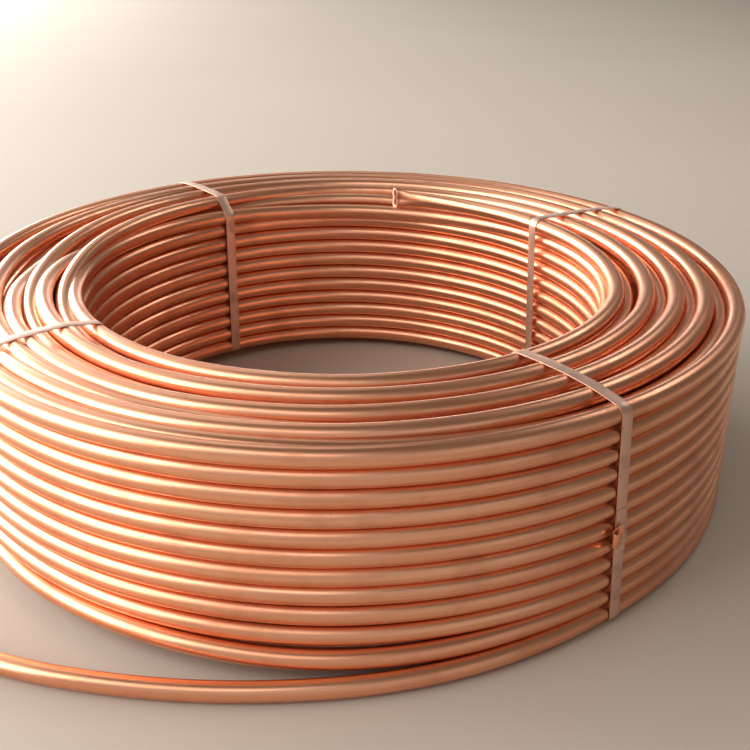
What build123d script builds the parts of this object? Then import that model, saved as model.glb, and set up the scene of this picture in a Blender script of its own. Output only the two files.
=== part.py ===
from build123d import *
from math import cos, radians, sin, sqrt
import os

# A level-wound coil of copper tube, lying with its axis upright and tied by four flat straps.
# Origin on the coil's axis at floor level, +Z up. Angles run anticlockwise from +X, seen from above.

# Driving dimensions, in millimetres and degrees

# Tube
tube_diameter = 19.05
tube_wall = 1.24

# Winding: upright layers round an open eye, each one nested in the grooves of the layer inside it
eye_diameter = 594.0
layers = 9
rows = 12
turn_gap = 0.1
crown_height = 5.3
groove_fill = 3.0

# Crossing: the stretch of the circle where a turn steps down to the row below
crossing_from = 187.0
crossing_to = 213.0
crossing_sections = 6
buried_share = 0.9

# Inner end: the start of the first turn, pinched flat
pinch_angle = 73.0
pinch_taper = 6.5
pinch_height = 25.4
pinch_thickness = 6.4

# Tail: the outer end, leaving the lowest outer turn along the floor
tail_angle = -60.0
tail_bend_radius = 600.0
tail_bend = 62.0
tail_straight = 70.0

# Straps
strap_width = 12.7
strap_thickness = 0.8
strap_clearance = 0.15
strap_angles = {"strap_front_right": -57.0, "strap_back_right": 30.5, "strap_back_left": 121.0, "strap_left": 216.0}
lap_height = 100.0
lap_length = 45.0

# Worked out from the driving dimensions

tube_radius = tube_diameter / 2
tube_bore_radius = tube_radius - tube_wall
row_pitch = tube_diameter + turn_gap
layer_pitch = row_pitch * sqrt(3) / 2
lowest_turn_height = strap_thickness + strap_clearance + tube_radius
local_fill = groove_fill * 0.8


def is_nested(layer):
    """The second, fourth and later even layers sit half a turn higher and hold one turn less."""
    return layer % 2 == 0


def turn_centre(layer, row):
    """Distance from the axis and height of a turn. Layers count outward and rows count up, from 0."""
    distance = eye_diameter / 2 + tube_radius + (layer - 1) * layer_pitch
    height = lowest_turn_height + (row + (0.5 if is_nested(layer) else 0)) * row_pitch
    return distance, height


def crown_rise(layer):
    """How far the top turn of a layer stands above its row: most in the middle of the coil."""
    middle = (1 + layers) / 2
    return crown_height * (1 - ((layer - middle) / (middle - 1)) ** 2)


def top_turn(layer):
    """The top turn of a layer. A nested one lies as high as the lower of its two neighbours lets it."""
    if is_nested(layer):
        distance, height = turn_centre(layer, rows - 2)
        return distance, height + min(crown_rise(layer - 1), crown_rise(min(layer + 1, layers)))
    distance, height = turn_centre(layer, rows - 1)
    return distance, height + crown_rise(layer)


def radial_plane(angle):
    """The upright plane through the axis at an angle: its x runs outward and its y runs up."""
    out_x = cos(radians(angle))
    out_y = sin(radians(angle))
    return Plane(origin=(0, 0, 0), x_dir=(out_x, out_y, 0), z_dir=(out_y, -out_x, 0))


# The first turn and the last turn don't run all the way round, so the closed section leaves them out.
first_turn = top_turn(1)
last_turn = turn_centre(layers, 0)
below_first_turn = turn_centre(1, rows - 2)
above_last_turn = turn_centre(layers, 1)

outer_wall = [turn_centre(layers, row) for row in range(1, rows - 1)]
top_face = [top_turn(layer) for layer in range(layers, 1, -1)]
bore_wall = [turn_centre(1, row) for row in range(rows - 2, -1, -1)]
bottom_face = [turn_centre(layer, 0) for layer in range(2, layers)]
closed_turns = outer_wall + top_face + bore_wall + bottom_face


# Copper tube: the wound body with its open grooves, the two part turns, the pinched start and the tail

def closed_turns_body():
    """Every turn that shows, on a plain core that ends inside the grooves, turned about the axis."""
    with BuildPart() as body:
        with BuildSketch(radial_plane(0)):
            with BuildLine():
                Polyline(*closed_turns, close=True)
            make_face()
            offset(amount=groove_fill, kind=Kind.INTERSECTION)
            with Locations(*closed_turns):
                Circle(tube_radius)
        revolve(axis=Axis.Z)
    return body.part


def part_turn(turn, neighbours, start, end):
    """One turn from a start angle to an end angle, with the groove between it and its neighbours."""
    with BuildPart() as ring:
        with BuildSketch(radial_plane(start)):
            with BuildLine():
                Polyline(turn, *neighbours, close=True)
            make_face()
            offset(amount=local_fill, kind=Kind.INTERSECTION)
            with Locations(turn):
                Circle(tube_radius)
        revolve(axis=Axis.Z, revolution_arc=end - start)
    return ring.part


def crossing(upper, lower, full_size_above):
    """A turn stepping from one row to the next. The end that meets a closed turn is slightly buried in it."""
    with BuildPart() as step_down:
        for step in range(crossing_sections + 1):
            share = step / crossing_sections
            angle = crossing_from + share * (crossing_to - crossing_from)
            eased = share * share * (3 - 2 * share)
            height = lower[1] + eased * (upper[1] - lower[1])
            exposed = eased if full_size_above else 1 - eased
            with BuildSketch(radial_plane(angle)):
                with Locations((lower[0], height)):
                    Circle(tube_radius * (buried_share + (1 - buried_share) * exposed))
        loft()
    return step_down.part


def pinched_end():
    """The squeezed start of the tube: a round section drawn out to a flat, open one."""
    lift = pinch_height / 2 - tube_radius
    with BuildPart() as pinched:
        for wall, mode in ((0, Mode.ADD), (tube_wall, Mode.SUBTRACT)):
            for share in (0, 0.5, 1):
                centre = (first_turn[0], first_turn[1] + share * lift)
                half_height = tube_radius + share * lift - wall
                half_thickness = tube_radius + share * (pinch_thickness / 2 - tube_radius) - wall
                with BuildSketch(radial_plane(pinch_angle - pinch_taper * (1 - share))):
                    with Locations(centre):
                        Ellipse(half_thickness, half_height)
            loft(mode=mode)
    return pinched.part


def tail():
    """The outer end of the tube: it leaves the last turn along its tangent, bends less and ends square."""
    out_x = cos(radians(tail_angle))
    out_y = sin(radians(tail_angle))
    start = (last_turn[0] * out_x, last_turn[0] * out_y)
    with BuildPart() as loose_end:
        with BuildLine(Plane.XY.offset(lowest_turn_height)) as path:
            bend = JernArc(start=start, tangent=(out_y, -out_x), radius=tail_bend_radius, arc_size=-tail_bend)
            Line(bend @ 1, bend @ 1 + (bend % 1) * tail_straight)
        with BuildSketch(Plane(origin=path.line @ 0, z_dir=path.line % 0)):
            Circle(tube_radius)
            Circle(tube_bore_radius, mode=Mode.SUBTRACT)
        sweep(path=path.line)
    return loose_end.part


with BuildPart() as tube_coil:
    add(closed_turns_body())
    add(part_turn(first_turn, [below_first_turn, top_turn(2)], crossing_to - 360, pinch_angle - pinch_taper))
    add(part_turn(last_turn, [above_last_turn, turn_centre(layers - 1, 0)], tail_angle, crossing_from))
    add(crossing(first_turn, below_first_turn, full_size_above=True))
    add(crossing(above_last_turn, last_turn, full_size_above=False))
    add(pinched_end())
    add(tail())


# Straps: each is a flat band pulled tight round the turns that stand out furthest where it ties them

def tied_turns(angle):
    """The odd layers' top and bottom turns at an angle, with the part turns only where they run."""
    first_runs = crossing_to - 360 <= angle <= pinch_angle or crossing_to <= angle
    last_runs = tail_angle <= angle <= crossing_from
    odd_layers = range(1, layers + 1, 2)
    tops = [top_turn(layer) for layer in odd_layers]
    bottoms = [turn_centre(layer, 0) for layer in odd_layers]
    if not first_runs:
        tops[0] = below_first_turn
    if not last_runs:
        bottoms[-1] = above_last_turn
    return tops + bottoms


def tight_loop(turns, reach):
    """The outline of a loop pulled tight round turns, at a reach from their centres."""
    with BuildSketch() as loop:
        with Locations(*turns):
            Circle(reach)
        make_hull()
    return loop.sketch


def strap_shape(angle):
    """A closed band whose two ends lap over each other on the coil's outer wall."""
    inner_reach = tube_radius + strap_clearance
    outer_reach = inner_reach + strap_thickness
    outer_face = last_turn[0] + outer_reach
    turns = tied_turns(angle)
    with BuildPart() as strap:
        with BuildSketch(radial_plane(angle)):
            add(tight_loop(turns, outer_reach))
            add(tight_loop(turns, inner_reach), mode=Mode.SUBTRACT)
            with Locations((outer_face, lap_height)):
                Rectangle(strap_thickness * 2, lap_length)
        extrude(amount=strap_width / 2, both=True)
    return strap.part


os.makedirs("parts", exist_ok=True)

tube_coil.part.label = "tube_coil"
export_step(tube_coil.part, "parts/tube_coil.step")

for strap_name, strap_angle in strap_angles.items():
    strap_solid = strap_shape(strap_angle)
    strap_solid.label = strap_name
    export_step(strap_solid, f"parts/{strap_name}.step")
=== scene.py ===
from math import cos, pi, radians, sin

import bmesh
import bpy
import numpy as np
from mathutils import Matrix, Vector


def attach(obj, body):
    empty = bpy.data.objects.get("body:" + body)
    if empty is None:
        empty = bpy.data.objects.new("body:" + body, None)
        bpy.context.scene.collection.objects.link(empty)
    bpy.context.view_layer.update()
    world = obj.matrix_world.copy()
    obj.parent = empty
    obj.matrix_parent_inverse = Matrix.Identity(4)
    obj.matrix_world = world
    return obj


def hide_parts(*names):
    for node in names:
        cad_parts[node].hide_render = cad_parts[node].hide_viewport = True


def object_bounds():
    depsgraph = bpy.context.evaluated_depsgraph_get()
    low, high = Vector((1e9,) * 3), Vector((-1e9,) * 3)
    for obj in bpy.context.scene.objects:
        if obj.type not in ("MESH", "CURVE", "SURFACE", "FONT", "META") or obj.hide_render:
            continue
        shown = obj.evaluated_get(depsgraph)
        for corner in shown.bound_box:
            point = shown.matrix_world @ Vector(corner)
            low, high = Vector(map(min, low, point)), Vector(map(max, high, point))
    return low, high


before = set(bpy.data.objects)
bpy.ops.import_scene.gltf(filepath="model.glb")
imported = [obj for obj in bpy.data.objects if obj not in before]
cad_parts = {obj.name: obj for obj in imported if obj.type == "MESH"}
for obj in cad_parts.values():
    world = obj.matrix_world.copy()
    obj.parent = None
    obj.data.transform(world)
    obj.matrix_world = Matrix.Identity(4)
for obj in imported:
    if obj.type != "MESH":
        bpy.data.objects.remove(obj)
cad_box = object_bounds()


# Eye turns: the first layer of the coil, which lines its open eye. Bright drawn copper tube, 19.05 mm across,
# wound from the top down on a drum that has since been taken out. It falls one row a turn. Its first turn is
# looser than the rest: it lies outward over the second layer at the front right, and inward at the back.

tube_diameter = 0.01905
tube_sides = 24
row_pitch = 0.01915
layer_pitch = row_pitch * 3 ** 0.5 / 2
outside_radius = cad_box[1].x
last_layer_radius = outside_radius - tube_diameter / 2
floor_clearance = 0.00095
layers = 9
rows = 12
turn_step = 2.0
station_step = 10
eye_smoothing = 10
eye_start_angle = 73.0
eye_start_height = rows - 0.5
eye_end_angle = eye_start_angle - eye_start_height * 360
pinch_from = 31.0
waver = 0.0006
waver_length = 0.16

# Angle, and how far the first turn lies outward there, in tubes, or hangs down, in rows
first_turn_looseness = [(-400, 0.0), (-335, 0.0), (-310, -0.3), (-287, -0.65), (-262, -0.6), (-240, -0.22),
                        (-230, -0.02), (-205, 0.18), (-180, 0.12), (-170, 0.10), (-135, -0.15), (-105, -0.20),
                        (-57, 0.40), (-30, 0.55), (-18, 0.48), (-8, 0.22), (0, 0.0), (15, -0.22), (30, -0.45),
                        (45, -0.62), (60, -0.72), (73, -0.75)]
first_turn_drop = [(-400, 0.0), (-330, 0.0), (-300, 0.16), (-262, 0.18), (-235, 0.03), (-215, 0.0), (73, 0.0)]

# Angle, and how far the whole coil is pushed outward there, in tubes
squeeze = [(-180, -0.60), (-146, -0.35), (-120, -0.10), (-90, 0.0), (-30, 0.05), (0, 0.15), (30, 0.05),
           (60, -0.05), (90, -0.15), (120, -0.35), (150, -0.55), (180, -0.60)]


def layer_radius(layer):
    """Distance from the coil's axis to the middle of a layer's turns. Layers count outward from 1."""
    return last_layer_radius - (layers - layer) * layer_pitch


def row_height(row):
    """Height of the middle of a turn that lies row rows above the lowest one."""
    return floor_clearance + tube_diameter / 2 + row * row_pitch


def within_a_circle(angle):
    """The same direction as an angle, from -180 to 180 degrees."""
    return (angle + 180) % 360 - 180


def read_off(course, angle, part=1):
    """What a course of angles and values says at an angle, on straight lines between those that it gives."""
    return np.interp(angle, [station[0] for station in course], [station[part] for station in course])


def smooth_path(stations, smoothing):
    """Angles, radii and heights along a wound tube. Stations are (angle, radius, height) as it is wound,
    clockwise from above, and the line between them is evened out over smoothing degrees."""
    stations = sorted(stations)
    angles = np.arange(stations[-1][0], stations[0][0] - turn_step / 2, -turn_step)
    reach = int(round(smoothing / turn_step))
    window = np.hanning(2 * reach + 3)[1:-1]
    window /= window.sum()
    lines = []
    for part in (1, 2):
        line = read_off(stations, angles, part)
        ends = np.concatenate([np.full(reach, line[0]), line, np.full(reach, line[-1])])
        lines.append(np.convolve(ends, window, "valid"))
    return angles, lines[0], lines[1]


def squeezed(angle):
    """How far the coil is pushed out at an angle. It was tied slightly out of round, flatter at the left."""
    return read_off(squeeze, within_a_circle(angle)) * tube_diameter


def as_points(path):
    """A wound path as points in space, pushed in where the coil is out of round."""
    angles, radii, heights = path
    turned = np.radians(angles)
    out = radii + squeezed(angles)
    return np.stack([out * np.cos(turned), out * np.sin(turned), heights], axis=1)


def linear(hex_colour):
    """An sRGB hex colour as the linear values that the shader takes."""
    parts = [int(hex_colour[i:i + 2], 16) / 255 for i in (1, 3, 5)]
    return [c / 12.92 if c <= 0.04045 else ((c + 0.055) / 1.055) ** 2.4 for c in parts] + [1.0]


def add_object(name, data):
    """An object in the scene that shows a mesh, a line, a lamp or the camera's view."""
    thing = bpy.data.objects.new(name, data)
    bpy.context.scene.collection.objects.link(thing)
    return thing


def add_node(tree, kind, inputs=None, **settings):
    """Adds a node with its settings. Inputs go by socket name or number, as a value or a node's output."""
    node = tree.nodes.new(kind)
    for name, value in settings.items():
        setattr(node, name, value)
    for socket, value in (inputs or {}).items():
        if isinstance(value, bpy.types.NodeSocket):
            tree.links.new(value, node.inputs[socket])
        else:
            node.inputs[socket].default_value = value
    return node


# Sockets of a Mix node for colours, which share their names with those for numbers
mix_share = 0
mix_first = 6
mix_second = 7
mix_result = 2


def empty_material(name):
    """A material with no nodes yet, and its tree."""
    material = bpy.data.materials.new(name)
    material.use_nodes = True
    material.node_tree.nodes.clear()
    return material, material.node_tree


def drawn_copper():
    """Copper tube, drawn bright through a die and soft annealed. The die leaves faint lines along the tube,
    so its highlights run in long soft streaks, and handling leaves slightly duller, browner patches."""
    # Die lines are some 0.1 mm wide. They are drawn 1.5 mm wide here, which is as fine as shows.
    die_line_width = 0.0015
    die_line_draw = (1, 1, 0.006)
    # Longer swings in the bend, some 200 mm apart, make one stretch of tube a little paler than the next.
    swing_length = 0.2
    swing_draw = (6, 6, 1)
    # Handling marks are 20 to 60 mm across.
    smudge_size = 0.05

    material, tree = empty_material("bright_drawn_copper")
    place = add_node(tree, "ShaderNodeAttribute", attribute_name="drawn")
    whereabouts = add_node(tree, "ShaderNodeTexCoord")
    stretched = add_node(tree, "ShaderNodeVectorMath", {0: place.outputs["Vector"], 1: die_line_draw},
                         operation="MULTIPLY")
    die_lines = add_node(tree, "ShaderNodeTexNoise",
                         {"Vector": stretched.outputs["Vector"], "Scale": 1 / (2 * die_line_width),
                          "Detail": 3.0})
    swings = add_node(tree, "ShaderNodeVectorMath", {0: place.outputs["Vector"], 1: swing_draw},
                      operation="MULTIPLY")
    stretches = add_node(tree, "ShaderNodeTexNoise",
                         {"Vector": swings.outputs["Vector"], "Scale": 1 / swing_length, "Detail": 2.0})
    smudges = add_node(tree, "ShaderNodeTexNoise",
                       {"Vector": whereabouts.outputs["Object"], "Scale": 1 / smudge_size, "Detail": 4.0})

    dull = add_node(tree, "ShaderNodeMapRange",
                    {"Value": smudges.outputs["Fac"], "From Min": 0.52, "From Max": 0.75})
    tone = add_node(tree, "ShaderNodeMapRange",
                    {"Value": stretches.outputs["Fac"], "From Min": 0.3, "From Max": 0.7})
    clean = add_node(tree, "ShaderNodeMix",
                     {mix_share: tone.outputs["Result"], mix_first: linear("#F1AA84"),
                      mix_second: linear("#F8BA95")}, data_type="RGBA")
    lined = add_node(tree, "ShaderNodeMapRange", {"Value": die_lines.outputs["Fac"], "From Min": 0.35,
                                                  "From Max": 0.65, "To Min": 0.0, "To Max": 0.35})
    streaked = add_node(tree, "ShaderNodeMix",
                        {mix_share: lined.outputs["Result"], mix_first: clean.outputs[mix_result],
                         mix_second: linear("#DB8A60")}, data_type="RGBA")
    handled = add_node(tree, "ShaderNodeMath", {0: dull.outputs["Result"], 1: 0.35}, operation="MULTIPLY")
    colour = add_node(tree, "ShaderNodeMix",
                      {mix_share: handled.outputs["Value"], mix_first: streaked.outputs[mix_result],
                       mix_second: linear("#B56A42")}, data_type="RGBA")

    polish = add_node(tree, "ShaderNodeMapRange", {"Value": die_lines.outputs["Fac"], "From Min": 0.3,
                                                   "From Max": 0.7, "To Min": 0.27, "To Max": 0.38})
    worn = add_node(tree, "ShaderNodeMath", {0: dull.outputs["Result"], 1: 0.12}, operation="MULTIPLY")
    roughness = add_node(tree, "ShaderNodeMath", {0: polish.outputs["Result"], 1: worn.outputs["Value"]},
                         operation="ADD")
    relief = add_node(tree, "ShaderNodeBump",
                      {"Height": die_lines.outputs["Fac"], "Strength": 0.25, "Distance": 0.00025})
    shader = add_node(tree, "ShaderNodeBsdfPrincipled",
                      {"Base Color": colour.outputs[mix_result], "Metallic": 1.0,
                       "Roughness": roughness.outputs["Value"], "Normal": relief.outputs["Normal"]})
    add_node(tree, "ShaderNodeOutputMaterial", {"Surface": shader.outputs["BSDF"]})
    return material


def new_tree(name, sockets):
    """A tree that takes a line and named inputs and gives a geometry. Gives the tree and its input node."""
    tree = bpy.data.node_groups.new(name, "GeometryNodeTree")
    tree.is_modifier = True
    tree.interface.new_socket("Geometry", in_out="OUTPUT", socket_type="NodeSocketGeometry")
    tree.interface.new_socket("Geometry", in_out="INPUT", socket_type="NodeSocketGeometry")
    for title, kind in sockets.items():
        tree.interface.new_socket(title, in_out="INPUT", socket_type=kind)
    return tree, add_node(tree, "NodeGroupInput")


def measured(tree, line):
    """Keeps how far along its line each point lies."""
    along = add_node(tree, "GeometryNodeSplineParameter")
    kept = add_node(tree, "GeometryNodeStoreNamedAttribute",
                    {"Geometry": line, "Name": "run", "Value": along.outputs["Length"]},
                    data_type="FLOAT", domain="POINT")
    return kept.outputs["Geometry"]


def swept(tree, line, profile):
    """Sweeps a profile along a measured line. Each point of the skin keeps where it lies across and along the
    piece, as "drawn", for the lines that a die or rolls leave."""
    spot = add_node(tree, "GeometryNodeInputPosition")
    section = add_node(tree, "GeometryNodeStoreNamedAttribute",
                       {"Geometry": profile, "Name": "section", "Value": spot.outputs["Position"]},
                       data_type="FLOAT_VECTOR", domain="POINT")
    skin = add_node(tree, "GeometryNodeCurveToMesh",
                    {"Curve": line, "Profile Curve": section.outputs["Geometry"], "Fill Caps": True})
    run = add_node(tree, "GeometryNodeInputNamedAttribute", {"Name": "run"}, data_type="FLOAT")
    across = add_node(tree, "GeometryNodeInputNamedAttribute", {"Name": "section"}, data_type="FLOAT_VECTOR")
    split = add_node(tree, "ShaderNodeSeparateXYZ", {0: across.outputs["Attribute"]})
    drawn = add_node(tree, "ShaderNodeCombineXYZ",
                     {"X": split.outputs["X"], "Y": split.outputs["Y"], "Z": run.outputs["Attribute"]})
    marked = add_node(tree, "GeometryNodeStoreNamedAttribute",
                      {"Geometry": skin.outputs["Mesh"], "Name": "drawn", "Value": drawn.outputs["Vector"]},
                      data_type="FLOAT_VECTOR", domain="POINT")
    smooth = add_node(tree, "GeometryNodeSetShadeSmooth", {"Geometry": marked.outputs["Geometry"]})
    return smooth.outputs["Geometry"]


def end_tree(tree, geometry, material):
    """Ends a tree with its copies made real and its material on."""
    real = add_node(tree, "GeometryNodeRealizeInstances", {"Geometry": geometry})
    clad = add_node(tree, "GeometryNodeSetMaterial",
                    {"Geometry": real.outputs["Geometry"], "Material": material})
    add_node(tree, "NodeGroupOutput", {"Geometry": clad.outputs["Geometry"]})


def winding_tree():
    """The tree that turns the line of a winding into its tube. The line wavers by a fraction of a millimetre,
    as bent tube does."""
    tree, given = new_tree("wound_tube", {"Tube radius": "NodeSocketFloat", "Sides": "NodeSocketInt",
                                          "Waver": "NodeSocketFloat", "Waver length": "NodeSocketFloat",
                                          "Seed": "NodeSocketFloat", "Copper": "NodeSocketMaterial"})
    along = add_node(tree, "GeometryNodeSplineParameter")
    pace = add_node(tree, "ShaderNodeMath", {0: along.outputs["Length"], 1: given.outputs["Waver length"]},
                    operation="DIVIDE")
    lookup = add_node(tree, "ShaderNodeCombineXYZ", {"X": pace.outputs["Value"], "Y": given.outputs["Seed"]})
    noise = add_node(tree, "ShaderNodeTexNoise",
                     {"Vector": lookup.outputs["Vector"], "Scale": 1.0, "Detail": 1.0})
    centred = add_node(tree, "ShaderNodeVectorMath", {0: noise.outputs["Color"], 1: (0.5, 0.5, 0.5)},
                       operation="SUBTRACT")
    wavered = add_node(tree, "ShaderNodeVectorMath",
                       {0: centred.outputs["Vector"], "Scale": given.outputs["Waver"]}, operation="SCALE")
    line = add_node(tree, "GeometryNodeSetPosition",
                    {"Geometry": measured(tree, given.outputs["Geometry"]),
                     "Offset": wavered.outputs["Vector"]})
    upright = add_node(tree, "GeometryNodeSetCurveNormal", {"Curve": line.outputs["Geometry"]}, mode="Z_UP")
    circle = add_node(tree, "GeometryNodeCurvePrimitiveCircle",
                      {"Resolution": given.outputs["Sides"], "Radius": given.outputs["Tube radius"]})
    tube = swept(tree, upright.outputs["Curve"], circle.outputs["Curve"])
    end_tree(tree, tube, given.outputs["Copper"])
    return tree


def grown_from_lines(name, lines, closed, tree, values):
    """A plain mesh piece made by a node tree from lines of points."""
    curve = bpy.data.curves.new(name + "_line", "CURVE")
    curve.dimensions = "3D"
    for points in lines:
        spline = curve.splines.new("POLY")
        spline.points.add(len(points) - 1)
        spline.points.foreach_set("co", np.hstack([points, np.ones((len(points), 1))]).ravel())
        spline.use_cyclic_u = closed
    maker = add_object(name + "_maker", curve)
    modifier = maker.modifiers.new("grow", "NODES")
    modifier.node_group = tree
    sockets = {item.name: item.identifier for item in tree.interface.items_tree if item.in_out == "INPUT"}
    for title, value in values.items():
        modifier[sockets[title]] = value
    seen = bpy.context.evaluated_depsgraph_get()
    mesh = bpy.data.meshes.new_from_object(maker.evaluated_get(seen), depsgraph=seen)
    mesh.name = name
    bpy.data.objects.remove(maker)
    bpy.data.curves.remove(curve)
    return add_object(name, mesh)


copper = drawn_copper()
wound_tube = winding_tree()
tube_values = {"Tube radius": tube_diameter / 2, "Sides": tube_sides, "Waver": waver,
               "Waver length": waver_length, "Copper": copper}


def eye_station(angle):
    """Where the first layer's tube is at an angle, counted back from its start."""
    loose = read_off(first_turn_looseness, angle)
    drop = read_off(first_turn_drop, angle)
    row = eye_start_height - (eye_start_angle - angle) / 360 - drop
    return angle, layer_radius(1) + loose * tube_diameter, row_height(row)


eye_stations = [eye_station(angle) for angle in np.arange(eye_end_angle, pinch_from, station_step)]
eye_stations.append(eye_station(pinch_from))
move_out = [(eye_end_angle - 30, layer_radius(2), row_height(0.5)),
            (eye_end_angle - 360, layer_radius(2), row_height(0.5)),
            (eye_end_angle - 390, layer_radius(2), row_height(1.5))]
eye_path = smooth_path(eye_stations + move_out, eye_smoothing)

eye_turns = grown_from_lines("eye_turns", [as_points(eye_path)], False, wound_tube,
                             dict(tube_values, Seed=1.0))
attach(eye_turns, "root")
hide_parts("tube_coil")


# Top turns: where one layer is full, the tube climbs out of its groove on to the next layer and the turn
# that lay there dives under it. So each pair of layers shows one turn in the groove and one on top, and they
# change places over the left and back. The middle of the coil is crowned by a quarter of a tube.

smoothing = 8
groove_row = rows - 1.5
groove_from = 500
clear_of_climb = 15
clear_of_dive = 5
half_row = 0.5

# Rows that each layer's top turn stands above its own row
crown = {2: 0.0, 3: 0.26, 4: 0.22, 5: 0.29, 6: 0.2, 7: 0.225, 8: 0.0, 9: 0.0}

# Angle, share of the way out to the next layer and share of the rise to its top, by the layer of the groove
climbs = {2: [(240, 0.0, 0.1), (214, 0.0, 0.2), (195, -0.2, 0.4), (180, -0.38, 0.8), (165, -0.5, 1.2),
              (148, -0.52, 1.38), (135, -0.4, 1.35), (122, -0.1, 1.2), (110, 0.3, 1.1), (98, 0.75, 1.0),
              (85, 1.0, 1.0)],
          4: [(240, 0.0, 0.1), (214, 0.0, 0.2), (195, -0.1, 0.35), (180, -0.15, 0.6), (165, -0.1, 0.95),
              (150, 0.15, 1.2), (138, 0.35, 1.2), (125, 0.6, 1.1), (110, 0.75, 1.0), (95, 0.9, 1.0),
              (80, 1.0, 1.0)],
          6: [(256, 0.0, 0.5), (230, 0.05, 1.05), (206, 0.1, 1.2), (191, 0.15, 1.25), (171, 0.35, 1.2),
              (146, 0.65, 1.05), (121, 0.85, 1.0), (95, 0.95, 1.0), (75, 1.0, 1.0)],
          8: [(285, 0.0, 0.5), (259, 0.05, 1.0), (235, 0.1, 1.1), (220, 0.15, 1.1), (200, 0.35, 1.1),
              (175, 0.7, 1.05)]}
dives = {2: [(-165, 1.0, 1.0), (-175, 0.95, 0.9), (-184, 0.78, 0.75), (-193, 0.55, 0.45), (-203, 0.3, 0.1),
             (-220, 0.35, -0.15), (-240, 0.75, -0.4), (-260, 1.0, -0.66)],
         4: [(-150, 1.15, 1.0), (-160, 1.0, 0.95), (-170, 0.8, 0.7), (-182, 0.5, 0.2), (-195, 0.45, -0.1),
             (-220, 0.7, -0.5), (-245, 1.0, -0.9)],
         6: [(-134, 1.0, 1.0), (-149, 1.0, 0.6), (-164, 1.0, -0.2), (-184, 1.0, -0.9)]}

# The tube comes up out of sight before its groove: angle, share of the way out, row
arrival = [(575, 0.0, 9.8), (545, 0.0, 10.0), (520, 0.0, 10.35)]

# Rows by which the second layer's tube stands out of its groove at the back, and angle and share of that
back_rise = 0.32
back_rise_course = [(420, 0), (438, 1), (472, 1), (490, 0)]

# How far outward of its place each top turn lies at these angles, in tubes
spread_angles = [-160, -130, -90, -57, -28, -20, 0, 20, 40, 80, 110, 130]
top_spread = {1: [0, 0, 0, 0, 0, 0, 0, 0, 0, 0, 0, 0],
              3: [0, 0.1, 0.2, 0.45, 0.45, 0.42, 0.15, 0, -0.15, -0.15, 0, 0],
              5: [0, 0.28, 0.3, 0.3, 0.32, 0.3, 0, -0.1, -0.2, -0.22, 0, 0],
              7: [0, 0.22, 0.2, 0.15, 0.15, 0.15, -0.1, -0.3, -0.45, -0.45, -0.1, 0],
              9: [0, 0.15, 0.1, 0, 0.08, 0.08, -0.1, -0.2, -0.38, -0.35, -0.1, 0]}


def spread(layer, angle):
    """How far a layer's top turn lies outward of its place at an angle: they crowd inward at the back right,
    and stand apart at the front. A turn between two of the layers listed moves with both."""
    known = sorted(top_spread)
    moved = [np.interp(within_a_circle(angle), spread_angles, top_spread[k]) for k in known]
    return np.interp(layer, known, moved) * tube_diameter


def pair_stations(groove):
    """Where the tube of a pair of layers runs: up into the groove, round in it, out on to the top, round and
    down."""
    in_groove = groove_row + crown[groove]
    rise = half_row + crown[groove + 1] - crown[groove]
    climb, dive = climbs[groove], dives.get(groove, [])
    course = list(arrival)
    pushed_up = back_rise if groove == 2 else 0.0
    course += [(angle, 0.0, in_groove + pushed_up * read_off(back_rise_course, angle))
               for angle in np.arange(groove_from, climb[0][0] + clear_of_climb, -station_step)]
    course += [(angle, share, in_groove + lift * rise) for angle, share, lift in climb]
    if dive:
        on_top_angles = np.arange(climb[-1][0] - station_step, dive[0][0] + clear_of_dive, -station_step)
        course += [(angle, 1.0, in_groove + rise) for angle in on_top_angles]
        course += [(angle, share, in_groove + lift * rise) for angle, share, lift in dive]
    stations = []
    for angle, share, row in course:
        moved_out = spread(groove + min(max(share, 0), 1), angle)
        stations.append((angle, layer_radius(groove) + share * layer_pitch + moved_out, row_height(row)))
    return stations


pair_paths = [smooth_path(pair_stations(groove), smoothing) for groove in (2, 4, 6)]
top_turns = grown_from_lines("top_turns", [as_points(path) for path in pair_paths], False, wound_tube,
                             dict(tube_values, Seed=2.0))
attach(top_turns, "root")
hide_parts("tube_coil")


# Outer turns: the ninth layer, the coil's outer wall. It starts where the eighth layer's top turn climbs out,
# lies level in its grooves, steps down one row a turn at the left, and leaves the lowest row as the tail on
# the floor. With the tail gone from under it, the turn above is pushed outward, and the next two sag.

step_from = 187.0
step_to = 213.0
lowest_lap = 360 * (rows - 1)
top_lap_angles = range(150, -141, -station_step)
tail_bend_end = -137.0
tail_straight = 0.06
run_on = 0.0175

# Angle, tubes outward and row of the turns over the tail, by how many laps they lie above it
sags = {1: [(-50, 0.0, 1.0), (-58, 0.0, 1.0), (-65, 0.08, 0.99), (-72, 0.22, 0.94), (-79, 0.42, 0.9),
            (-88, 0.6, 0.88), (-97, 0.64, 0.9), (-106, 0.56, 1.0), (-117, 0.42, 1.07), (-131, 0.25, 1.0),
            (-142, 0.08, 1.0), (-150, 0.0, 1.0)],
        2: [(-60, 0.0, 2.0), (-74, 0.03, 1.92), (-88, 0.06, 1.85), (-102, 0.06, 1.87), (-116, 0.04, 1.97),
            (-130, 0.0, 2.0)],
        3: [(-64, 0.0, 3.0), (-80, 0.02, 2.96), (-95, 0.02, 2.94), (-110, 0.0, 2.98), (-124, 0.0, 3.0)]}

# Angle, and tubes outward of the lowest row, of the bend that leads off along the floor
tail_course = [(-50, 0.0), (-57, 0.06), (-65, 0.34), (-72, 0.62), (-78, 0.89), (-84, 1.14), (-95, 1.61),
               (-105, 2.28), (-115, 3.15), (-125, 4.33), (-135, 5.45), (-144, 6.64), (-149, 7.55),
               (-154, 8.6)]

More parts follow.
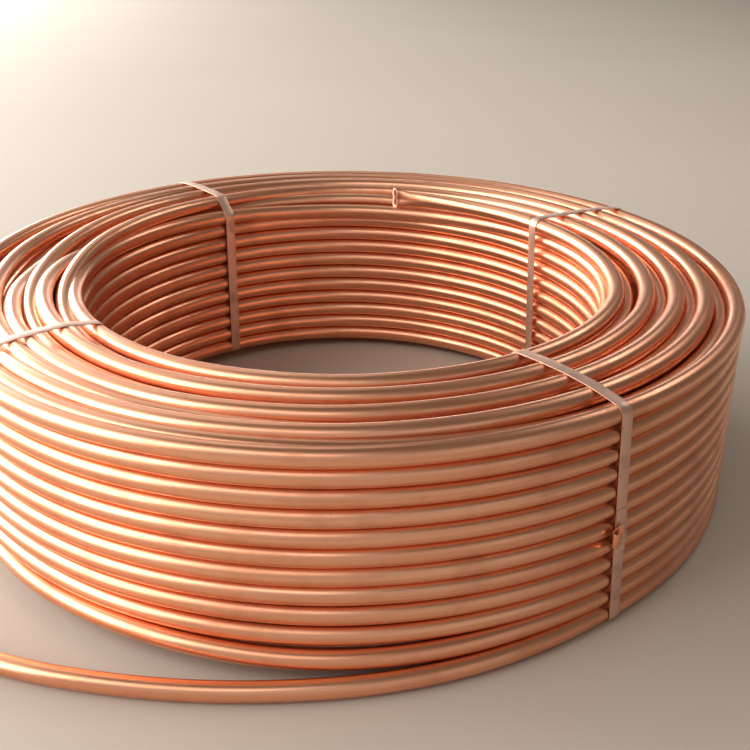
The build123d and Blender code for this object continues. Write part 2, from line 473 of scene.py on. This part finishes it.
wall_radius = layer_radius(layers)
last_stations = pair_stations(layers - 1)
last_stations += [(angle, wall_radius + spread(layers, angle), row_height(rows - 1))
                  for angle in top_lap_angles]
for row in range(rows - 1, 0, -1):
    first_angle = step_to - 360 * (rows - row)
    if row > 1:
        last_stations.append((first_angle, wall_radius, row_height(row)))
    last_stations.append((first_angle - (step_to - step_from), wall_radius, row_height(row - 1)))
for laps_up, sag in sags.items():
    this_lap = 360 * laps_up - lowest_lap
    last_stations += [(angle + this_lap, wall_radius + away * tube_diameter, row_height(row))
                      for angle, away, row in sag]
for angle, away in tail_course:
    # The tail has left the coil, so it isn't pushed in where the coil is out of round.
    unsqueezed = squeezed(angle) if away else 0.0
    last_stations.append((angle - lowest_lap, wall_radius + away * tube_diameter - unsqueezed, row_height(0)))
outer_path = smooth_path(last_stations, smoothing)

bent_part = outer_path[0] >= tail_bend_end - lowest_lap
outer_path = [line[bent_part] for line in outer_path]
wound = as_points(outer_path)
tail_heading = (wound[-1] - wound[-2]) / np.linalg.norm(wound[-1] - wound[-2])
straight_start = wound[-1]
outer_line = np.vstack([wound, [straight_start + tail_heading * run_on]])

outer_turns = grown_from_lines("outer_turns", [outer_line], False, wound_tube, dict(tube_values, Seed=3.0))
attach(outer_turns, "root")
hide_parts("tube_coil")


# Pinched inner end: the start of the tube, squeezed flat and upright in a cutter, lying at the first turn's
# height at the back of the eye. It opens into two lobes with a waist between them. Its mouth is cut at a
# slant, and the cut lip shows the wall. The lip is painted paler than the tube, partly for the bare cut
# metal and partly as a painted highlight on its thin edge.

tube_wall = 0.00124
lip = tube_wall * 0.15
mouth_angle = 74.3
mouth_rim = mouth_angle - 0.4
mouth_round = mouth_angle - 0.06
mouth_drop = 0.0008
mouth_slant = 0.95
flat_from = 66.0
inside_to = 60.0
ring_points = 48
round_ring_step = 1.75
flat_ring_step = 0.6
inside_ring_step = 0.8

# Angle, height and thickness of the squeezed tube, and how deep its waist is, as a share of the thickness
pinch_shape = [(31.0, 0.01905, 0.01905, 0.0), (52.0, 0.01905, 0.01905, 0.0), (60.0, 0.0208, 0.0172, 0.0),
               (66.0, 0.0213, 0.0152, 0.02), (70.0, 0.0215, 0.0125, 0.1), (72.3, 0.0240, 0.0092, 0.35),
               (73.5, 0.0264, 0.0066, 0.62), (74.3, 0.0288, 0.0098, 0.5)]


def cut_copper():
    """Copper where it was cut: bare and duller than the drawn surface, with the cutter's scoring. It is
    painted paler than the tube, partly for the bare metal and partly as a painted highlight on the thin lip.
    """
    # Scoring is about 0.3 mm apart and drawn 0.8 mm apart.
    scoring_width = 0.0008

    material, tree = empty_material("cut_copper_bare_and_painted_pale")
    whereabouts = add_node(tree, "ShaderNodeTexCoord")
    scoring = add_node(tree, "ShaderNodeTexNoise",
                       {"Vector": whereabouts.outputs["Object"], "Scale": 1 / (2 * scoring_width),
                        "Detail": 2.0})
    # Painted paler than the tube: partly the bare cut metal, partly a painted highlight on the thin lip.
    colour = add_node(tree, "ShaderNodeMix",
                      {mix_share: scoring.outputs["Fac"], mix_first: linear("#E9B79C"),
                       mix_second: linear("#FADCC9")}, data_type="RGBA")
    relief = add_node(tree, "ShaderNodeBump",
                      {"Height": scoring.outputs["Fac"], "Strength": 0.3, "Distance": 0.0002})
    shader = add_node(tree, "ShaderNodeBsdfPrincipled",
                      {"Base Color": colour.outputs[mix_result], "Metallic": 1.0, "Roughness": 0.5,
                       "Normal": relief.outputs["Normal"]})
    add_node(tree, "ShaderNodeOutputMaterial", {"Surface": shader.outputs["BSDF"]})
    return material


def skinned(name, rings, places, materials, cut_from=0, cut_to=0, ring_shaped=False):
    """A closed piece through rings of points, with each point's place for the drawn lines. It is smooth and
    capped at both ends, or faceted and closed on itself. The second material is on the cut lip, from one
    ring to another."""
    shape = bmesh.new()
    drawn = shape.verts.layers.float_vector.new("drawn")
    skin_rows = []
    for ring, place in zip(rings, places):
        skin_row = []
        for point, spot in zip(ring, place):
            vertex = shape.verts.new(point)
            vertex[drawn] = spot
            skin_row.append(vertex)
        skin_rows.append(skin_row)
    count = len(rings[0])
    next_rows = skin_rows[1:] + (skin_rows[:1] if ring_shaped else [])
    for step, (near, far) in enumerate(zip(skin_rows, next_rows)):
        for i in range(count):
            j = (i + 1) % count
            face = shape.faces.new([near[i], near[j], far[j], far[i]])
            face.smooth = not ring_shaped
            face.material_index = 1 if cut_from <= step < cut_to else 0
    if not ring_shaped:
        shape.faces.new(skin_rows[0][::-1])
        shape.faces.new(skin_rows[-1])
    bmesh.ops.recalc_face_normals(shape, faces=shape.faces)
    mesh = bpy.data.meshes.new(name)
    shape.to_mesh(mesh)
    shape.free()
    for material in materials:
        mesh.materials.append(material)
    return add_object(name, mesh)


around = np.linspace(0, 2 * pi, ring_points, endpoint=False)


def pinched_ring(angle, inward):
    """A section of the squeezed tube at an angle, round where it starts and flat at the mouth. It lies inward
    of the outside by so much."""
    tall, thick, waist_depth = (read_off(pinch_shape, angle, part) for part in (1, 2, 3))
    _, loose_radius, loose_height = eye_station(angle)
    flat = np.clip((angle - flat_from) / (mouth_angle - flat_from), 0, 1)
    radius = loose_radius + squeezed(angle)
    height = loose_height - mouth_drop * flat
    waist = 1 - waist_depth * (1 - np.abs(np.sin(around))) ** 1.5
    out = radius + (thick / 2 - inward) * np.cos(around) * waist
    up = height + (tall / 2 - inward) * np.sin(around)
    turned = np.radians(angle + mouth_slant * flat * np.cos(around) * waist)
    return np.stack([out * np.cos(turned), out * np.sin(turned), up], axis=1)


outside = [*np.arange(pinch_from, flat_from, round_ring_step)]
outside += [*np.arange(flat_from, mouth_rim, flat_ring_step), mouth_rim]
inside = np.arange(mouth_rim, inside_to, -inside_ring_step)
pinch_sections = [(angle, 0.0) for angle in outside]
pinch_sections += [(mouth_round, 0.0), (mouth_angle, lip), (mouth_angle, tube_wall - lip)]
pinch_sections += [(angle, tube_wall) for angle in inside]
pinch_rings = []
pinch_places = []
for angle, inward in pinch_sections:
    pinch_rings.append(pinched_ring(angle, inward))
    run = -radians(angle) * layer_radius(1)
    pinch_places.append([(tube_diameter / 2 * cos(a), tube_diameter / 2 * sin(a), run) for a in around])

# Copper for the cut lips, painted pale: partly bare metal, partly a painted highlight.
cut_lip_bare_and_painted_pale = cut_copper()
pinched_end = skinned("pinched_end", pinch_rings, pinch_places, [copper, cut_lip_bare_and_painted_pale],
                      cut_from=len(outside) - 1, cut_to=len(outside) + 3)
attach(pinched_end, "root")
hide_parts("tube_coil")


# Tail end: the last of the tube on the floor, cut square with a tube cutter, which rolls its lip in a little.
# It is open, so its wall and the dark inside show.

bore_depth = 0.048

# Distance back from the cut, and how far inward of the outside, of each ring over the lip and into the bore
lip_profile = [(0.052, 0.0), (0.003, 0.0), (0.0012, 0.0002), (0.0002, 0.0005), (0.0, 0.0007), (0.0, 0.0011),
               (0.0004, tube_wall), (0.004, tube_wall), (bore_depth, tube_wall)]
lip_from = 2
lip_to = 6

upward = np.array([0.0, 0.0, 1.0])
sideways = np.cross(tail_heading, upward)
section_ways = np.cos(around)[:, None] * sideways + np.sin(around)[:, None] * upward
tail_length = float(np.linalg.norm(np.diff(outer_line, axis=0), axis=1).sum())
tail_rings = []
tail_places = []
for back, inward in lip_profile:
    middle = straight_start + tail_heading * (tail_straight - back)
    radius = tube_diameter / 2 - inward
    tail_rings.append(middle + radius * section_ways)
    tail_places.append([(radius * cos(a), radius * sin(a), tail_length - back) for a in around])

# Its cut lip takes the copper painted pale, partly as a painted highlight.
tail_end = skinned("tail_end", tail_rings, tail_places, [copper, cut_lip_bare_and_painted_pale], cut_from=lip_from, cut_to=lip_to)
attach(tail_end, "root")
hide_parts("tube_coil")


# Underside turns: the lowest turn of each layer, which the coil stands on, and the eighth layer's lowest,
# which shows at the front left where the tail has left its row. The same tube changes layers here as it does
# on top.

full_layers = (3, 5, 7)


def underside_stations(full):
    """Where the tube goes at the bottom: down to the lowest row of a full layer, round, and up into the next
    groove."""
    course = [(step_to, 0.0, 1.0), (step_from, 0.0, 0.0), (step_to - 360, 0.0, 0.0),
              (step_from - 360, 1.0, 0.5), (step_to - 720, 1.0, 0.5), (step_from - 720, 1.0, 1.5)]
    return [(angle, layer_radius(full) + share * layer_pitch, row_height(row))
            for angle, share, row in course]


underside_paths = [smooth_path(underside_stations(full), smoothing) for full in full_layers]
underside_turns = grown_from_lines("underside_turns", [as_points(path) for path in underside_paths], False,
                                   wound_tube, dict(tube_values, Seed=4.0))
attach(underside_turns, "root")
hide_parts("tube_coil")


# Packed turns: the rest of the same tube, wound tight between the turns that show. Only its shadowed surface
# can be glimpsed through the grooves, so one plain ring of copper stands for it there.

# Layer and row of the ring's corners, just inside the turns that show
ring_section = [(1.3, 0.7), (1.3, 10.2), (2.2, 10.3), (8.2, 10.3), (8.7, 9.9), (8.7, 1.4), (8.0, 0.9)]

ring_columns = []
ring_places = []
for angle in np.arange(0, 360, turn_step):
    turned = radians(angle)
    corners = [(layer_radius(layer) + squeezed(angle), row_height(row)) for layer, row in ring_section]
    ring_columns.append([(out * cos(turned), out * sin(turned), height) for out, height in corners])
    ring_places.append([(out, height, turned * out) for out, height in corners])

packed_turns = skinned("packed_turns", ring_columns, ring_places, [copper], ring_shaped=True)
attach(packed_turns, "root")
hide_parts("tube_coil")


# Straps: four flat bands of rolled copper, 12.7 mm wide, each pulled tight round the coil's section by a
# tool, so that it bears only on the turns that stand out. The ends lap on the outer wall, and the outer one
# is nipped and lifts. On the front right strap its corner has torn and curls out. The curl is given the
# tube's brighter copper in place of the band's, as a painted highlight.

strap_width = 0.0127
strap_thickness = 0.0008
strap_clearance = 0.00015
slit_edge = 0.0002
strap_places = {"strap_front_right": -57.0, "strap_back_right": 30.5,
                "strap_back_left": 121.0, "strap_left": 216.0}

# How far a strap's foot leans aside on the outer wall, or its end at the eye has slipped aside
strap_leans = {"strap_front_right": 0.011}
strap_skews = {"strap_left": -0.0115}

# Strap thicknesses away from the wall, height, and shift to the side, down along the lapped end
plain_lap = [(0.1, 0.128, 0.0), (0.7, 0.120, 0.0), (1.05, 0.114, 0.0), (1.05, 0.096, 0.0), (1.6, 0.0925, 0.0),
             (3.2, 0.090, 0.0)]
crumpled_lap = [(0.1, 0.128, 0.0), (0.7, 0.120, 0.0), (1.05, 0.114, 0.0), (1.1, 0.106, 0.0),
                (2.6, 0.1035, -0.0004), (4.6, 0.1005, -0.0008), (2.6, 0.0975, -0.0010),
                (4.2, 0.0935, -0.0013), (2.0, 0.0905, -0.0015), (3.2, 0.085, -0.0018)]
laps = {"strap_front_right": crumpled_lap}

curl_height = 0.1035
curl_width = 0.015

# Distance away from the wall, shift to the side, and rise, round the torn corner
curl = [(0.0044, -0.0010, 0.004), (0.0040, -0.0060, 0.003), (0.0030, -0.0104, 0.001),
        (0.0034, -0.0128, -0.001), (0.0052, -0.0138, -0.002), (0.0072, -0.0124, -0.003),
        (0.0078, -0.0092, -0.002), (0.0066, -0.0060, 0.001)]


def rolled_copper():
    """Flat copper band, cold rolled and slit. The rolls leave it a little paler and duller than the tube,
    with fine lines along it, and handling and dragging leave grey rub marks."""
    # Roll lines are finer than the render shows, so they are drawn 0.8 mm apart.
    roll_line_width = 0.0008
    roll_line_draw = (1, 1, 0.02)
    # Rub marks are 8 to 30 mm long.
    rub_size = 0.022

    material, tree = empty_material("flat_rolled_copper_band")
    place = add_node(tree, "ShaderNodeAttribute", attribute_name="drawn")
    whereabouts = add_node(tree, "ShaderNodeTexCoord")
    stretched = add_node(tree, "ShaderNodeVectorMath", {0: place.outputs["Vector"], 1: roll_line_draw},
                         operation="MULTIPLY")
    roll_lines = add_node(tree, "ShaderNodeTexNoise",
                          {"Vector": stretched.outputs["Vector"], "Scale": 1 / (2 * roll_line_width),
                           "Detail": 2.0})
    rubbed = add_node(tree, "ShaderNodeTexNoise",
                      {"Vector": whereabouts.outputs["Object"], "Scale": 1 / rub_size, "Detail": 4.0})
    marks = add_node(tree, "ShaderNodeMapRange",
                     {"Value": rubbed.outputs["Fac"], "From Min": 0.5, "From Max": 0.7})
    clean = add_node(tree, "ShaderNodeMix",
                     {mix_share: roll_lines.outputs["Fac"], mix_first: linear("#DDB199"),
                      mix_second: linear("#ECCAB6")}, data_type="RGBA")
    grey = add_node(tree, "ShaderNodeMath", {0: marks.outputs["Result"], 1: 0.4}, operation="MULTIPLY")
    colour = add_node(tree, "ShaderNodeMix",
                      {mix_share: grey.outputs["Value"], mix_first: clean.outputs[mix_result],
                       mix_second: linear("#8C7B6C")}, data_type="RGBA")
    roughness = add_node(tree, "ShaderNodeMapRange", {"Value": rubbed.outputs["Fac"], "From Min": 0.35,
                                                      "From Max": 0.7, "To Min": 0.42, "To Max": 0.56})
    relief = add_node(tree, "ShaderNodeBump",
                      {"Height": roll_lines.outputs["Fac"], "Strength": 0.2, "Distance": 0.0002})
    shader = add_node(tree, "ShaderNodeBsdfPrincipled",
                      {"Base Color": colour.outputs[mix_result], "Metallic": 1.0,
                       "Roughness": roughness.outputs["Result"], "Normal": relief.outputs["Normal"]})
    add_node(tree, "ShaderNodeOutputMaterial", {"Surface": shader.outputs["BSDF"]})
    return material


def band_tree():
    """The tree that sweeps a flat band along a line drawn upright at angle 0, and turns it to its place round
    the coil. The band's slit edges stay crisp."""
    crisp_from = radians(25)
    tree, given = new_tree("flat_band", {"Width": "NodeSocketFloat", "Thickness": "NodeSocketFloat",
                                         "Edge round": "NodeSocketFloat", "Across": "NodeSocketVector",
                                         "Place": "NodeSocketVector", "Band": "NodeSocketMaterial"})
    across = add_node(tree, "GeometryNodeSetCurveNormal",
                      {"Curve": measured(tree, given.outputs["Geometry"]), "Normal": given.outputs["Across"]},
                      mode="FREE")
    outline = add_node(tree, "GeometryNodeCurvePrimitiveQuadrilateral",
                       {"Width": given.outputs["Width"], "Height": given.outputs["Thickness"]})
    edges = add_node(tree, "GeometryNodeFilletCurve",
                     {"Curve": outline.outputs["Curve"], "Radius": given.outputs["Edge round"], "Count": 2},
                     mode="POLY")
    band = swept(tree, across.outputs["Curve"], edges.outputs["Curve"])
    bend = add_node(tree, "GeometryNodeInputMeshEdgeAngle")
    sharp = add_node(tree, "FunctionNodeCompare", {0: bend.outputs["Unsigned Angle"], 1: crisp_from},
                     operation="GREATER_THAN")
    crisp = add_node(tree, "GeometryNodeSetShadeSmooth",
                     {"Geometry": band, "Selection": sharp.outputs["Result"], "Shade Smooth": False},
                     domain="EDGE")
    placed = add_node(tree, "GeometryNodeTransform",
                      {"Geometry": crisp.outputs["Geometry"], "Rotation": given.outputs["Place"]})
    end_tree(tree, placed.outputs["Geometry"], given.outputs["Band"])
    return tree


def turns_at(angle):
    """Middles of all the turns that cross an upright plane at an angle, as distances from the axis and
    heights."""
    middles = []
    for angles, radii, heights in [eye_path, outer_path] + pair_paths + underside_paths:
        first_lap = int(np.ceil((angles[-1] - angle) / 360))
        last_lap = int(np.floor((angles[0] - angle) / 360))
        for lap in range(first_lap, last_lap + 1):
            at = angle + lap * 360
            radius = np.interp(at, angles[::-1], radii[::-1])
            middles.append((radius + squeezed(at), np.interp(at, angles[::-1], heights[::-1])))
    return middles


def taut_loop(middles, reach):
    """The closed line of a band pulled tight round the turns, at a reach from their middles."""
    circle_steps = 48
    longest_run = 0.012
    bends_in = 1e-12
    round_turn = np.linspace(0, 2 * pi, circle_steps, endpoint=False)
    cloud = sorted((m[0] + reach * cos(a), m[1] + reach * sin(a)) for m in middles for a in round_turn)
    halves = []
    for points in (cloud, cloud[::-1]):
        half = []
        for x, z in points:
            while len(half) > 1 and ((half[-1][0] - half[-2][0]) * (z - half[-2][1])
                                     - (half[-1][1] - half[-2][1]) * (x - half[-2][0])) <= bends_in:
                half.pop()
            half.append((x, z))
        halves.append(half[:-1])
    loop = np.array(halves[0] + halves[1])
    steps = np.linalg.norm(np.diff(np.vstack([loop, loop[:1]]), axis=0), axis=1)
    filled = []
    for i, length in enumerate(steps):
        pieces_of_run = max(1, int(length / longest_run))
        for k in range(pieces_of_run):
            filled.append(loop[i] + (loop[(i + 1) % len(loop)] - loop[i]) * k / pieces_of_run)
    return np.array(filled)


band_copper = rolled_copper()
flat_band = band_tree()
reach = tube_diameter / 2 + strap_clearance + strap_thickness / 2
for strap_name, strap_angle in strap_places.items():
    middles = turns_at(strap_angle)
    loop = taut_loop(middles, reach)
    wall = max(middle[0] for middle in middles) + reach
    eye_side = min(middle[0] for middle in middles) - reach
    top_side = loop[:, 1].max()
    lean = strap_leans.get(strap_name, 0.0)
    skew = strap_skews.get(strap_name, 0.0)
    outward = (loop[:, 0] - eye_side) / (wall - eye_side)
    aside = lean * (1 - loop[:, 1] / top_side) * outward + skew * (1 - outward)
    upright_loop = np.stack([loop[:, 0], aside, loop[:, 1]], axis=1)
    band_values = {"Width": strap_width, "Thickness": strap_thickness, "Edge round": slit_edge,
                   "Across": (0.0, 1.0, 0.0), "Place": (0.0, 0.0, radians(strap_angle)), "Band": band_copper}
    strap = grown_from_lines(strap_name + "_band", [upright_loop], True, flat_band, band_values)
    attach(strap, "root")
    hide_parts(strap_name)
    lap_line = np.array([(wall + away * strap_thickness, left + lean * (1 - height / top_side), height)
                         for away, height, left in laps.get(strap_name, plain_lap)])
    lapped = grown_from_lines(strap_name + "_lap", [lap_line], False, flat_band, band_values)
    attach(lapped, "root")
    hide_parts(strap_name)
    if strap_name == "strap_front_right":
        curl_lean = lean * (1 - curl_height / top_side)
        curl_line = np.array([(wall + away, left + curl_lean, curl_height + up) for away, left, up in curl])
        # The curl takes the tube's brighter copper instead of the band's: a painted highlight.
        curled = grown_from_lines(strap_name + "_curl", [curl_line], False, flat_band,
                                  dict(band_values, Width=curl_width, Across=(0.0, 0.0, 1.0), Band=copper))
        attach(curled, "root")
        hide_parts(strap_name)


# Stage: a plain pale floor that sweeps up into a backdrop, not part of the object.

floor_rings = (0.4, 2.5, 9.0)
floor_radius = floor_rings[-1]
sweep_radius = 1.5
sweep_angles = np.linspace(0.2, pi / 2, 8)
stage_steps = 96
cloud_scale = 0.8

sweep = [(out, 0.0) for out in floor_rings]
sweep += [(floor_radius + sweep_radius * sin(a), sweep_radius * (1 - cos(a))) for a in sweep_angles]
stage_angles = np.linspace(0, 2 * pi, stage_steps, endpoint=False)
stage_points = [(0.0, 0.0, 0.0)]
for out, height in sweep:
    stage_points += [(out * cos(a), out * sin(a), height) for a in stage_angles]
stage_faces = [(0, 1 + i, 1 + (i + 1) % stage_steps) for i in range(stage_steps)]
for ring in range(len(sweep) - 1):
    near = 1 + ring * stage_steps
    far = near + stage_steps
    for i in range(stage_steps):
        j = (i + 1) % stage_steps
        stage_faces.append((near + i, far + i, far + j, near + j))
stage_mesh = bpy.data.meshes.new("floor_and_backdrop")
stage_mesh.from_pydata(stage_points, [], stage_faces)
for face in stage_mesh.polygons:
    face.use_smooth = True
backdrop = add_object("floor_and_backdrop", stage_mesh)

# Matt paint, rolled on, which is slightly uneven in tone over a metre or so
painted, painted_tree = empty_material("matt_painted_backdrop")
backdrop_place = add_node(painted_tree, "ShaderNodeTexCoord")
clouding = add_node(painted_tree, "ShaderNodeTexNoise",
                    {"Vector": backdrop_place.outputs["Object"], "Scale": cloud_scale, "Detail": 3.0})
pale = add_node(painted_tree, "ShaderNodeMix",
                {mix_share: clouding.outputs["Fac"], mix_first: linear("#BBAD9D"),
                 mix_second: linear("#C5B9AB")}, data_type="RGBA")
matt = add_node(painted_tree, "ShaderNodeBsdfPrincipled",
                {"Base Color": pale.outputs[mix_result], "Roughness": 0.8})
add_node(painted_tree, "ShaderNodeOutputMaterial", {"Surface": matt.outputs["BSDF"]})
stage_mesh.materials.append(painted)


# Light: two tall windows at the left give the tubes their long pale highlights. Dimmer boxes in front, behind
# and above fill in the rest, down to the horizon, so that no turn is crossed by a dark line.

def set_down(thing, place, to_right, to_top, to_back):
    """Puts a lamp or the camera at a place, with its right side, top and back turned these ways."""
    turn = np.eye(4)
    for column, way in enumerate((to_right, to_top, to_back, place)):
        turn[:3, column] = way
    thing.matrix_world = Matrix([list(row) for row in turn])


def soft_box(name, place, aim, width, height, watts):
    """A rectangular lamp at a place, turned to face a point."""
    lamp = bpy.data.lights.new(name, "AREA")
    lamp.shape = "RECTANGLE"
    lamp.size = width
    lamp.size_y = height
    lamp.energy = watts
    toward = np.array(aim, float) - np.array(place, float)
    toward /= np.linalg.norm(toward)
    to_right = np.cross(toward, (0.0, 0.0, 1.0))
    to_right /= np.linalg.norm(to_right)
    set_down(add_object(name, lamp), place, to_right, np.cross(to_right, toward), -toward)


upper_aim = (0, 0, 0.2)
lower_aim = (0, 0, 0.15)
soft_box("left_window", (-4.4, 3.45, 1.35), upper_aim, width=6.2, height=2.6, watts=560)
soft_box("left_front_window", (-4.06, -1.09, 2.15), upper_aim, width=4.4, height=3.6, watts=240)
soft_box("back_left_overhead_box", (-1.2, 1.5, 2.4), lower_aim, width=3.2, height=1.8, watts=15)
soft_box("high_front_box", (-1.1, -2.2, 2.9), lower_aim, width=2.4, height=1.3, watts=17)
soft_box("front_window", (0.5, -3.3, 1.35), upper_aim, width=6.4, height=2.6, watts=19)
soft_box("right_lamp", (2.6, 1.9, 3.1), upper_aim, width=1.7, height=0.8, watts=20)
soft_box("low_back_strip", (-0.9, 8.4, 1.3), upper_aim, width=8.0, height=1.1, watts=92)

surroundings = bpy.data.worlds.new("dim_room")
surroundings.use_nodes = True
room_light = surroundings.node_tree.nodes["Background"]
room_light.inputs["Color"].default_value = linear("#DACFC4")
room_light.inputs["Strength"].default_value = 0.22
bpy.context.scene.world = surroundings
bpy.context.scene.view_settings.view_transform = "Standard"


# Camera: stands in front of the coil and above it, looking down about 25 degrees.

camera_place = (0.0, -1.2092, 0.6490)
camera_lens = 52.766
camera_sensor = 36.0
camera_pan = radians(1.9884)
camera_tilt = radians(24.8306)
camera_roll = radians(0.0933)

forward = np.array([sin(camera_pan) * cos(camera_tilt), cos(camera_pan) * cos(camera_tilt),
                    -sin(camera_tilt)])
level = np.array([cos(camera_pan), -sin(camera_pan), 0.0])
camera_top = np.cross(level, forward) * cos(camera_roll) - level * sin(camera_roll)

view = bpy.data.cameras.new("camera")
view.lens = camera_lens
view.sensor_width = camera_sensor
view.clip_start = 0.05
view.clip_end = 60.0
camera = add_object("camera", view)
set_down(camera, camera_place, np.cross(forward, camera_top), camera_top, -forward)
bpy.context.scene.camera = camera
